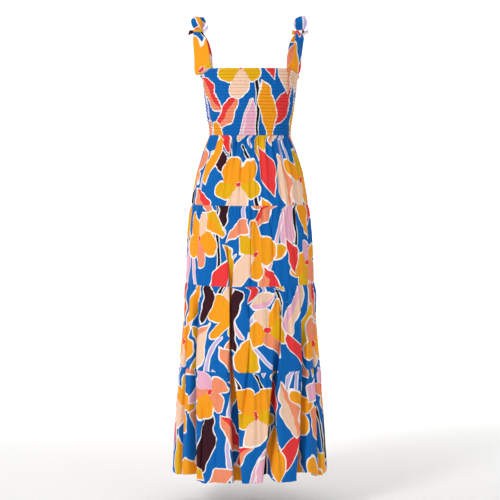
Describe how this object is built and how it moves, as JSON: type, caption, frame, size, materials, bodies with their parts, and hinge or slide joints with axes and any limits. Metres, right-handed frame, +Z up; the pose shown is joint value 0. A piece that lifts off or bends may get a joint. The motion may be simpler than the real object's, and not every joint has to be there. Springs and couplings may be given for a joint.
{
  "type": "tie-strap tiered maxi dress",
  "caption": "Sleeveless maxi dress with tied shoulder straps, an elastic-shirred bodice and a gathered tiered skirt, filled out as worn.",
  "frame": {"origin": "midway between the two shoulders, at the height where the tied straps rest on them", "axes": "+Z up along the height of the dress, -Y out of its front, +X to the left as the wearer has it and to the right in a front view"},
  "size_m": [0.4608, 0.397, 1.3384],
  "materials": {
    "bodice_cloth": "printed plain-weave viscose, shirred on elastic",
    "skirt_cloth": "printed plain-weave viscose, gathered",
    "tie_cloth": "printed plain-weave viscose, sewn into tie straps"
  },
  "bodies": {
    "root": {"bodice_front": "bodice_cloth", "bodice_back": "bodice_cloth", "tier_1_front": "skirt_cloth", "tier_1_back": "skirt_cloth", "tier_2_front": "skirt_cloth", "tier_2_back": "skirt_cloth", "tier_3_front": "skirt_cloth", "tier_3_back": "skirt_cloth", "tier_4_front": "skirt_cloth", "tier_4_back": "skirt_cloth", "strap_front_left": "tie_cloth", "strap_back_left": "tie_cloth", "strap_front_right": "tie_cloth", "strap_back_right": "tie_cloth", "knot_left": "tie_cloth", "loop_front_left": "tie_cloth", "loop_back_left": "tie_cloth", "tail_outer_left": "tie_cloth", "tail_inner_left": "tie_cloth", "knot_right": "tie_cloth", "loop_front_right": "tie_cloth", "loop_back_right": "tie_cloth", "tail_outer_right": "tie_cloth", "tail_inner_right": "tie_cloth"}
  },
  "joints": []
}
